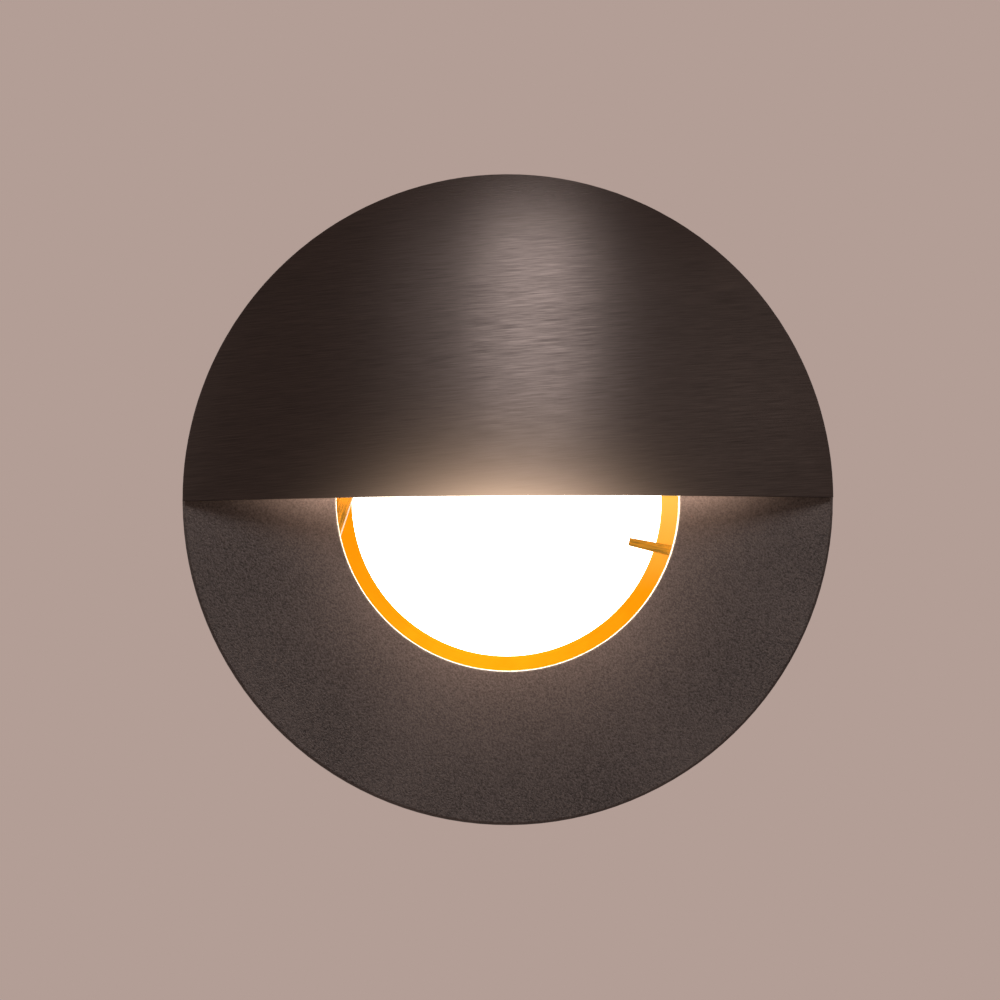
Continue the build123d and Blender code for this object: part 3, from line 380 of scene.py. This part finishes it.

# %% [markdown]
# ## Snap ring and springs: drawn spring steel
# The snap ring is bent from flat strip and tempered, which turns it straw and brown in streaks along the
# strip. The clip springs are drawn from round wire and stay grey. The streaks follow the two stretches that
# show: the bent-in end on the right lies nearly level, and the run on the left stands nearly upright. The
# strip's edges are well rounded by the rolls, so its face turns from the light above to the dark below. It
# stands before the lens, and a faint glow painted in its emission stands for the lens's light, thrown back and
# forth under the hood. On the left run the rolled edge that looks at the lens gets a painted highlight: it
# glows as a white line.

# %% Spring steel finishes
end_slope, run_lean, streak_length, streak_width = radians(12.65), radians(18.5), 9, 0.35
to_lens, turned_enough = (0.95, 0, -0.31), 0.35
painted_bounce_glow, line_glow = 0.16, 1.2

strip, tree, shader, place = start_finish("tempered_spring_steel_strip", Metallic=1.0)
level = add(
    tree,
    "ShaderNodeMapping",
    {"Vector": place, "Rotation": (0, end_slope, 0), "Scale": (streak_length, streak_length, 1)},
    vector_type="TEXTURE",
).outputs[0]
upright = add(
    tree,
    "ShaderNodeMapping",
    {"Vector": place, "Rotation": (0, run_lean, 0), "Scale": (1, streak_length, streak_length)},
    vector_type="TEXTURE",
).outputs[0]
sideways = add(tree, "ShaderNodeSeparateXYZ", {0: place}).outputs["X"]
on_right = add(tree, "ShaderNodeMath", {0: sideways, 1: 0.0}, operation="GREATER_THAN").outputs[0]
along = add(tree, "ShaderNodeMix", {0: on_right, 4: upright, 5: level}, data_type="VECTOR").outputs[1]
streaks = add(
    tree, "ShaderNodeTexNoise", {"Vector": along, "Scale": 1 / streak_width, "Detail": 2.0}
).outputs[0]
shade = add(tree, "ShaderNodeMapRange", {"Value": streaks, "From Min": 0.35, "From Max": 0.65}).outputs[0]
finish_with(tree, shader, shade, "a8651e", "fb9c1e", streaks, 0.01, gloss=(0.24, 0.4), edge=0.5)
# Painted highlight: on the left run, where the rounded normal looks at the lens, the strip glows white.
rolled = add(tree, "ShaderNodeBevel", {"Radius": 0.4 * mm}, samples=4).outputs[0]
looks = add(
    tree, "ShaderNodeVectorMath", {0: rolled, 1: to_lens}, operation="DOT_PRODUCT"
).outputs["Value"]
turned_in = add(tree, "ShaderNodeMath", {0: looks, 1: turned_enough}, operation="GREATER_THAN").outputs[0]
on_left = add(tree, "ShaderNodeMath", {0: 1.0, 1: on_right}, operation="SUBTRACT").outputs[0]
painted_highlight_line = add(tree, "ShaderNodeMath", {0: turned_in, 1: on_left}, operation="MULTIPLY").outputs[0]
glow = add(
    tree, "ShaderNodeMix", {0: painted_highlight_line, 6: linear("ffda55"), 7: linear("fff1dc")}, data_type="RGBA"
).outputs[2]
tree.links.new(glow, shader.inputs["Emission Color"])
strength = add(
    tree, "ShaderNodeMath", {0: painted_highlight_line, 1: line_glow, 2: painted_bounce_glow}, operation="MULTIPLY_ADD"
).outputs[0]
tree.links.new(strength, shader.inputs["Emission Strength"])
give(strip, "snap_ring")

wire = speckled(
    "drawn_spring_steel_wire",
    "6f6a63",
    "a8a299",
    grain=0.3,
    depth=0.008,
    gloss=(0.22, 0.38),
    edge=0.05,
    Metallic=1.0,
)
print("made", wire.name)

# %% [markdown]
# ## Housing and rear cover: die-cast aluminium
# Molten aluminium takes the skin of a steel mould. It comes out pale grey with a fine grain, and with faint
# flow marks a few millimetres across. The sharp edges are rounded a little for the light, as every cast edge
# is.

# %% Casting finish
casting, tree, shader, place = start_finish("die_cast_aluminium", Metallic=1.0)
skin = add(
    tree, "ShaderNodeTexNoise", {"Vector": place, "Scale": 1 / 0.35, "Detail": 4.0, "Roughness": 0.65}
).outputs[0]
flow = add(
    tree, "ShaderNodeTexNoise", {"Vector": place, "Scale": 1 / 6.0, "Detail": 3.0, "Distortion": 1.5}
).outputs[0]
shade = add(tree, "ShaderNodeMath", {0: skin, 1: flow}, operation="MULTIPLY").outputs[0]
shade = add(tree, "ShaderNodeMapRange", {"Value": shade, "From Min": 0.1, "From Max": 0.42}).outputs[0]
finish_with(tree, shader, shade, "989a9d", "b1b3b5", skin, 0.03, gloss=(0.44, 0.58), edge=0.25)
give(casting, "housing", "rear_cover")

# %% [markdown]
# ## Brackets, blades, pins and screws: zinc-plated steel
# Zinc plating is pale and slightly blue, with a soft cloudiness where the bath left it thicker. The crystals
# of thick zinc are about a millimetre across, which a cell pattern draws. Passivating the zinc leaves a
# breath of yellow, which a broad noise lays over it.

# %% Zinc finish
zinc, tree, shader, place = start_finish("zinc_plated_steel", Metallic=1.0)
crystals = add(
    tree, "ShaderNodeTexVoronoi", {"Vector": place, "Scale": 1 / 0.9, "Randomness": 1.0}
).outputs["Distance"]
clouds = add(tree, "ShaderNodeTexNoise", {"Vector": place, "Scale": 1 / 2.5, "Detail": 3.0}).outputs[0]
shade = add(tree, "ShaderNodeMix", {0: 0.35, 2: clouds, 3: crystals}).outputs[0]
finish_with(tree, shader, shade, "a7abb4", "c6c3b6", clouds, 0.006, gloss=(0.24, 0.4))
screwed_down = ("board", "driver", "terminal", "cover", "left_clip", "right_clip")
give(zinc, *(f"{what}_screws" for what in screwed_down))
give(zinc, *(f"{side}_clip_{part}" for side in ("left", "right") for part in ("bracket", "pin", "blade")))

# %% [markdown]
# ## Screws of the face: blackened steel
# The screws behind the plate and the set screws in its skirt are black oxide on steel: near black, oily and
# slightly brown, with a fine grain.

# %% Black oxide finish
blackened = speckled(
    "black_oxide_steel",
    "211f1e",
    "403b37",
    grain=0.5,
    depth=0.01,
    gloss=(0.3, 0.5),
    edge=0.08,
    detail=4.0,
    Metallic=0.9,
)
give(blackened, "hood_screws", "bezel_set_screws")

# %% [markdown]
# ## Gland: moulded nylon, and its rubbers
# The cable gland is black nylon with the fine matt texture that the mould was etched with. The seals are
# black rubber, duller and softer, with a bloom of grey dust in their pores.

# %% Nylon and rubber finishes
nylon = speckled(
    "moulded_black_nylon", "1a1b1c", "2b2d2f", grain=0.22, depth=0.02, gloss=(0.4, 0.58), edge=0.2, IOR=1.53
)
give(nylon, "gland_body", "gland_nut")

rubber = speckled(
    "moulded_black_rubber", "19191a", "2c2c2d", grain=0.6, depth=0.02, gloss=(0.65, 0.85), detail=4.0, IOR=1.52
)
give(rubber, "gland_seal", "cover_seal", "lead_grommet")

silicone = speckled(
    "translucent_silicone",
    "cdc8be",
    "e2dfd8",
    grain=1.5,
    depth=0.01,
    gloss=(0.42, 0.6),
    detail=2.0,
    Subsurface_Weight=0.3,
    IOR=1.43,
)
give(silicone, "lens_seal")

# %% [markdown]
# ## Inside: the light board and its reflector
# The board is aluminium under a white solder-resist ink, with a slightly uneven gloss. The chips are yellow
# phosphor in clear resin, the cup is white polycarbonate, and a grey filled silicone pad carries the heat
# away to the casting.

# %% Light board finishes
resist = speckled("white_solder_resist", "e6e2d6", "f7f5ee", grain=2.0, depth=0.01, gloss=(0.28, 0.45))
give(resist, "led_board")

phosphor = speckled(
    "phosphor_in_resin",
    "dcb93c",
    "f2d568",
    grain=0.12,
    depth=0.004,
    edge=0.05,
    detail=2.0,
    Roughness=0.25,
    Coat_Weight=0.6,
)
give(phosphor, "led_chips")

cup_white = speckled(
    "moulded_white_polycarbonate",
    "e8e8e2",
    "f3f3ef",
    grain=5.0,
    depth=0.02,
    gloss=(0.22, 0.38),
    detail=2.0,
    IOR=1.58,
)
give(cup_white, "reflector_cup")

pad = speckled("filled_silicone_pad", "7f8488", "9da2a6", grain=0.3, depth=0.02, gloss=(0.6, 0.8))
give(pad, "thermal_pad")

# %% [markdown]
# ## Inside: the driver
# The driver is a green board of glass fibre under resist, whose threads, about 0.6 mm wide, just show. It
# carries a ferrite transformer, a capacitor in a shrink sleeve, chips in black epoxy and a green screw
# terminal. The earth tag and its screw are brass, and the two leads have their insulation of soft plastic.

# %% Driver finishes
thread, thread_of_wave = 0.628, 0.157

glass_board, tree, shader, place = start_finish("solder_resist_on_glass_fibre", Coat_Weight=0.3)
warp, weft = (
    add(
        tree,
        "ShaderNodeTexWave",
        {"Vector": place, "Scale": thread_of_wave / thread},
        bands_direction=direction,
    ).outputs["Fac"]
    for direction in ("X", "Z")
)
weave = add(tree, "ShaderNodeMath", {0: warp, 1: weft}, operation="MULTIPLY").outputs[0]
finish_with(tree, shader, weave, "1a4f33", "27694a", weave, 0.01, gloss=(0.24, 0.36))
give(glass_board, "driver_board")

ferrite = speckled(
    "sintered_ferrite", "303133", "47484b", grain=0.3, depth=0.02, gloss=(0.5, 0.7), detail=4.0
)
give(ferrite, "driver_transformer")

sleeve = speckled(
    "shrink_sleeve", "1d2941", "2a3a58", grain=1.2, depth=0.02, gloss=(0.2, 0.36), detail=2.0, Coat_Weight=0.4
)
give(sleeve, "driver_capacitor")

epoxy = speckled("moulded_epoxy", "151617", "242628", grain=0.2, depth=0.01, gloss=(0.42, 0.6))
give(epoxy, "driver_chips")

terminal = speckled("moulded_green_polyamide", "296d42", "388a57", grain=1.0, depth=0.01, gloss=(0.32, 0.5))
give(terminal, "terminal_block")

brass = speckled(
    "turned_brass", "b08a38", "d9b765", grain=1.4, depth=0.006, gloss=(0.22, 0.42), Metallic=1.0
)
give(brass, "earth_tag", "earth_screw")

for colour, dark, light in (("red", "a2211a", "c2342b"), ("black", "171718", "242426")):
    covering = speckled(
        f"extruded_{colour}_pvc", dark, light, grain=0.5, depth=0.01, gloss=(0.32, 0.5), detail=2.0, IOR=1.53
    )
    give(covering, f"{colour}_lead")

# %% [markdown]
# ## One helper for the new meshes
# The hood, the two clip springs and the wall gasket are made anew here. For each, a bmesh is shaped with its
# operators and becomes a mesh object at the origin, with its place in its mesh. Points that are closer than a
# ten thousandth of a millimetre are one point.

# %% Turning a bmesh into a piece
same_point = 0.0001 * mm


def piece_from(name, shape, material, smooth_below=40):
    """Makes the shape an object with its finish, its normals outwards, and smooth below this angle."""
    bmesh.ops.remove_doubles(shape, verts=shape.verts, dist=same_point)
    bmesh.ops.recalc_face_normals(shape, faces=shape.faces)
    for face in shape.faces:
        face.smooth = True
    for edge in shape.edges:
        if len(edge.link_faces) == 2 and edge.calc_face_angle() > radians(smooth_below):
            edge.smooth = False
    mesh = bpy.data.meshes.new(name)
    shape.to_mesh(mesh)
    shape.free()
    mesh.materials.append(material)
    piece = bpy.data.objects.new(name, mesh)
    bpy.context.scene.collection.objects.link(piece)
    print(name, len(mesh.polygons), "faces")
    return piece


# %% [markdown]
# ## Hood: a cap cut from a ball
# The hood is half of a shallow dome pressed from sheet 1.5 mm thick. A solid turned about the lamp's axis
# has a pole in the middle of its lower edge, where the gloss would pinch, so it is made anew from a ball
# whose poles lie far out to the sides. Two cuts leave the half cap, its rim is drawn down to the plate, and
# solidify gives it its wall. Three short posts inside take the screws that come through the plate. All that
# faces inwards gets the bare finish.

# %% Hood
low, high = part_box("hood")
face_radius, hood_rise, rim_height, sheet = high.x, 11.0 * mm, 0.8 * mm, 1.5 * mm
post_angles, post_ring, post_radius, post_reach = (30, 90, 150), 26.4 * mm, 2.5 * mm, 5.85 * mm
rim_front = low.y + hood_rise
dome = (face_radius**2 + hood_rise**2) / (2 * hood_rise)
ball_middle = Vector((0, low.y + dome, 0))
shape = bmesh.new()
bmesh.ops.create_uvsphere(
    shape,
    u_segments=300,
    v_segments=150,
    radius=dome,
    matrix=Matrix.Translation(ball_middle) @ Matrix.Rotation(radians(90), 4, "Y"),
)
for point, outwards in (((0, rim_front, 0), (0, 1, 0)), ((0, 0, 0), (0, 0, -1))):
    bmesh.ops.bisect_plane(
        shape,
        geom=shape.verts[:] + shape.edges[:] + shape.faces[:],
        dist=same_point,
        plane_co=point,
        plane_no=outwards,
        clear_outer=True,
    )
rim = [e for e in shape.edges if all(abs(v.co.y - rim_front) < 0.001 * mm for v in e.verts)]
drawn_down = bmesh.ops.extrude_edge_only(shape, edges=rim)["geom"]
bmesh.ops.translate(
    shape, verts=[v for v in drawn_down if isinstance(v, bmesh.types.BMVert)], vec=(0, rim_height, 0)
)
bmesh.ops.recalc_face_normals(shape, faces=shape.faces)
if sum(face.normal.y for face in shape.faces) > 0:
    bmesh.ops.reverse_faces(shape, faces=shape.faces)
bmesh.ops.solidify(shape, geom=shape.faces[:], thickness=sheet)
foot, head = rim_front + rim_height, rim_front - post_reach
for angle in post_angles:
    stand = Matrix.Translation(
        (post_ring * cos(radians(angle)), (foot + head) / 2, post_ring * sin(radians(angle)))
    )
    bmesh.ops.create_cone(
        shape,
        cap_ends=True,
        segments=40,
        radius1=post_radius,
        radius2=post_radius,
        depth=foot - head,
        matrix=stand @ Matrix.Rotation(radians(90), 4, "X"),
    )
hood = piece_from("hood_shell", shape, brushed)
hood.data.materials.append(pressed)
for face in hood.data.polygons:
    inside = (face.center - ball_middle).length < dome - sheet / 2 and face.center.z > 0.01 * mm
    face.material_index = int(inside)
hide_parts("hood")
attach(hood, "fixture")
depths = [v.co.y / mm for v in hood.data.vertices]
print("hood from", round(min(depths), 2), "to", round(max(depths), 2), "mm along y")

# %% [markdown]
# ## Clip springs: a circle spun up a screw
# The two springs wind up as the clips fold back. Here each is made anew at rest as one wire mesh. A torsion
# spring is a wire wound round the pin, with a straight leg at each end: one presses the blade, the other the
# housing. Spin turns a circle about the pin and lifts it at each step, which winds the coil. The rim of the
# circle is then drawn out straight along the wire for each leg, and its end is closed and rounded off. The left
# spring is the right one in a mirror.

# %% Clip springs
pin = Vector((29.8, 18.0, 0)) * mm
wire_radius, coil_radius, coil_pitch, end_round = 0.45 * mm, 2.2 * mm, 1.4 * mm, 0.12 * mm
coil_degrees, coil_steps = 1490, 168
first_place, coil_sweep = radians(-130), radians(coil_degrees)
coil_rise = coil_pitch * coil_degrees / 360
blade_leg, base_leg = 7.0 * mm, 6.0 * mm


def wire_way(place):
    """The way the wire runs where it stands at this angle round the pin, winding clockwise and up."""
    way = Vector((coil_radius * sin(place), -coil_radius * cos(place), coil_pitch / radians(360)))
    return way.normalized()


def draw_out(shape, rim, way, length):
    """Draws a rim of the wire out straight, closes its end and rounds it off."""
    drawn_out = bmesh.ops.extrude_edge_only(shape, edges=rim)["geom"]
    ends = [v for v in drawn_out if isinstance(v, bmesh.types.BMVert)]
    bmesh.ops.translate(shape, verts=ends, vec=way * length)
    edges = [e for e in drawn_out if isinstance(e, bmesh.types.BMEdge)]
    end_rim = [e for e in edges if all(v in ends for v in e.verts)]
    bmesh.ops.contextual_create(shape, geom=end_rim)
    bmesh.ops.bevel(
        shape, geom=end_rim, offset=end_round, segments=2, profile=0.5, affect="EDGES", material=-1
    )


for side, hand in (("right", 1), ("left", -1)):
    shape = bmesh.new()
    start = pin + Vector((coil_radius * cos(first_place), coil_radius * sin(first_place), -coil_rise / 2))
    section = Matrix.LocRotScale(start, wire_way(first_place).to_track_quat("Z", "Y"), None)
    circle = bmesh.ops.create_circle(shape, segments=14, radius=wire_radius, matrix=section)
    first_rim = list({e for v in circle["verts"] for e in v.link_edges})
    wound = bmesh.ops.spin(
        shape,
        geom=first_rim + circle["verts"],
        cent=pin,
        axis=(0, 0, -1),
        dvec=(0, 0, coil_rise / coil_steps),
        angle=coil_sweep,
        steps=coil_steps,
    )["geom_last"]
    last_rim = [e for e in wound if isinstance(e, bmesh.types.BMEdge)]
    draw_out(shape, first_rim, -wire_way(first_place), blade_leg)
    draw_out(shape, last_rim, wire_way(first_place - coil_sweep), base_leg)
    bmesh.ops.scale(shape, verts=shape.verts, vec=(hand, 1, 1))
    spring = piece_from(f"{side}_clip_coil", shape, wire)
    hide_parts(f"{side}_clip_spring")
    along = pin.copy()
    along.x *= hand
    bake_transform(spring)

# %% [markdown]
# ## Wall gasket: closed-cell foam
# The gasket is cut from foam sheet 1 mm thick. The knife pulls the skin of the foam over its edges, so they
# are round. A small rectangle is drawn beside the axis, its corners are rounded, and spinning it all the way
# makes the ring. The foam's cells are about 0.25 mm across; they are drawn at 0.4 mm so that they show.

# %% Foam finish
foam, tree, shader, place = start_finish("closed_cell_foam", Sheen_Weight=0.15)
cells = add(tree, "ShaderNodeTexVoronoi", {"Vector": place, "Scale": 1 / 0.4}).outputs["Distance"]
dust = add(tree, "ShaderNodeTexNoise", {"Vector": place, "Scale": 1 / 3.0, "Detail": 3.0}).outputs[0]
shade = add(tree, "ShaderNodeMath", {0: cells, 1: dust}, operation="MULTIPLY").outputs[0]
finish_with(tree, shader, shade, "1f1f20", "454546", cells, 0.06, gloss=(0.75, 0.92))

# %% Wall gasket
low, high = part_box("wall_gasket")
inner, outer, corner = 36.5 * mm, high.x, 0.3 * mm
shape = bmesh.new()
middle = Vector(((inner + outer) / 2, (low.y + high.y) / 2, 0))
grid = bmesh.ops.create_grid(shape, x_segments=1, y_segments=1, size=0.5, matrix=Matrix.Translation(middle))
bmesh.ops.scale(
    shape,
    verts=grid["verts"],
    vec=(outer - inner, high.y - low.y, 1),
    space=Matrix.Translation(-middle),
)
bmesh.ops.bevel(
    shape, geom=shape.verts[:], offset=corner, segments=4, profile=0.5, affect="VERTICES", material=-1
)
bmesh.ops.delete(shape, geom=shape.faces[:], context="FACES_ONLY")
bmesh.ops.spin(
    shape,
    geom=shape.verts[:] + shape.edges[:],
    cent=(0, 0, 0),
    axis=(0, 1, 0),
    angle=radians(360),
    steps=180,
    use_merge=True,
)
gasket = piece_from("wall_gasket_foam", shape, foam)
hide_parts("wall_gasket")
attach(gasket, "fixture")

# %% [markdown]
# ## Floor and air
# The lamp hangs in plain pale air over a plain pale floor, 1.2 m below it, so that the view from under the
# hood stays free. The world gives a soft, even light. Rays that go straight to the eye, or by a mirror, see
# it in the pale beige of a painted wall, and see the floor a little brighter, so that the two match.

# %% Floor and world
def goes_to_eye(tree):
    """1 for the rays that go to the eye, straight, by a mirror or through glass, and 0 for the others."""
    rays = add(tree, "ShaderNodeLightPath", {})
    seen = rays.outputs["Is Camera Ray"]
    for other in ("Is Glossy Ray", "Is Transmission Ray"):
        seen = add(tree, "ShaderNodeMath", {0: seen, 1: rays.outputs[other]}, operation="MAXIMUM").outputs[0]
    return seen


floor_radius, floor_below, floor_glow = 12.0, 1.2, 0.18
floor_shape = bmesh.new()
bmesh.ops.create_circle(
    floor_shape,
    cap_ends=True,
    segments=96,
    radius=floor_radius,
    matrix=Matrix.Translation((0, 0, -floor_below)),
)
floor_mesh = bpy.data.meshes.new("floor")
floor_shape.to_mesh(floor_mesh)
floor_shape.free()
floor = bpy.data.objects.new("floor", floor_mesh)
bpy.context.scene.collection.objects.link(floor)
plaster, tree, shader, place = start_finish("painted_plaster", Roughness=0.9, Emission_Color=linear("ffefe7"))
trowel = add(tree, "ShaderNodeTexNoise", {"Vector": place, "Scale": 1 / 40, "Detail": 3.0}).outputs[0]
finish_with(tree, shader, trowel, "c0ada5", "c8b5ad", trowel, 0.2)
brighter = add(tree, "ShaderNodeMath", {0: goes_to_eye(tree), 1: floor_glow}, operation="MULTIPLY").outputs[0]
tree.links.new(brighter, shader.inputs["Emission Strength"])
floor_mesh.materials.append(plaster)
floor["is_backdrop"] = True

world = bpy.data.worlds.new("pale_air")
bpy.context.scene.world = world
world.use_nodes = True
air = world.node_tree
air.nodes.clear()
soft_light = add(air, "ShaderNodeBackground", {"Color": linear("fff8f2"), "Strength": 0.4}).outputs[0]
backdrop = add(air, "ShaderNodeBackground", {"Color": linear("b39e96"), "Strength": 1.0}).outputs[0]
mixed = add(air, "ShaderNodeMixShader", {0: goes_to_eye(air), 1: soft_light, 2: backdrop}).outputs[0]
add(air, "ShaderNodeOutputWorld", {"Surface": mixed})
print("floor", floor.name, "world", world.name)

# %% [markdown]
# ## Lamps
# One tall soft box stands in front and above, a little to the right. It is what shows in the brushed hood as
# the upright band, and a far weaker one left of it draws that band out to the left. A broad, weak one on each
# side keeps the edges from going black. Three more stand behind the face's plane, so that none of their light
# falls on it: one behind and one past each side, for the casting, its grooves and the clips.

# %% Lamps
def soft_box(name, azimuth, elevation, reach, size, watts, colour="ffffff"):
    """A rectangular lamp this far off that looks at the face's middle, at these angles round it, in degrees."""
    a, e = radians(azimuth), radians(elevation)
    way = Vector((sin(a) * cos(e), -cos(a) * cos(e), sin(e)))
    lamp = bpy.data.lights.new(name, "AREA")
    lamp.shape = "RECTANGLE"
    lamp.size, lamp.size_y = size
    lamp.energy = watts
    lamp.color = linear(colour)[:3]
    holder = bpy.data.objects.new(name, lamp)
    bpy.context.scene.collection.objects.link(holder)
    holder.matrix_world = Matrix.LocRotScale(way * reach, way.to_track_quat("Z", "Y"), None)
    print(name, watts, "W", [round(v, 2) for v in holder.location])


soft_box("key_soft_box", azimuth=7, elevation=33, reach=1.3, size=(0.34, 0.5), watts=11.4)
soft_box("beside_key_soft_box", azimuth=-12, elevation=33, reach=1.3, size=(0.34, 0.5), watts=0.9)
soft_box("left_soft_box", azimuth=-80, elevation=15, reach=1.4, size=(0.8, 0.8), watts=2.0, colour="fffaf5")
soft_box("right_soft_box", azimuth=48, elevation=18, reach=1.4, size=(0.8, 0.8), watts=1.5, colour="fffaf5")
soft_box("back_soft_box", azimuth=200, elevation=35, reach=1.4, size=(0.9, 0.9), watts=14)
soft_box("right_back_soft_box", azimuth=118, elevation=30, reach=1.4, size=(0.5, 0.9), watts=7)
soft_box("left_back_soft_box", azimuth=-118, elevation=30, reach=1.4, size=(0.5, 0.9), watts=7)

# %% [markdown]
# ## The last look
# The picture's colours are left as they are rendered. The box of the finished lamp is printed next to the
# CAD model's box, since the two must agree.

# %% Colour, sizes and the end
bpy.context.scene.view_settings.view_transform = "Standard"
look_box = [list(corner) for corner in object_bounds()]
for what, box in (("CAD box", cad_box), ("box of the look", look_box)):
    print(what, [[round(v, 5) for v in corner] for corner in box])
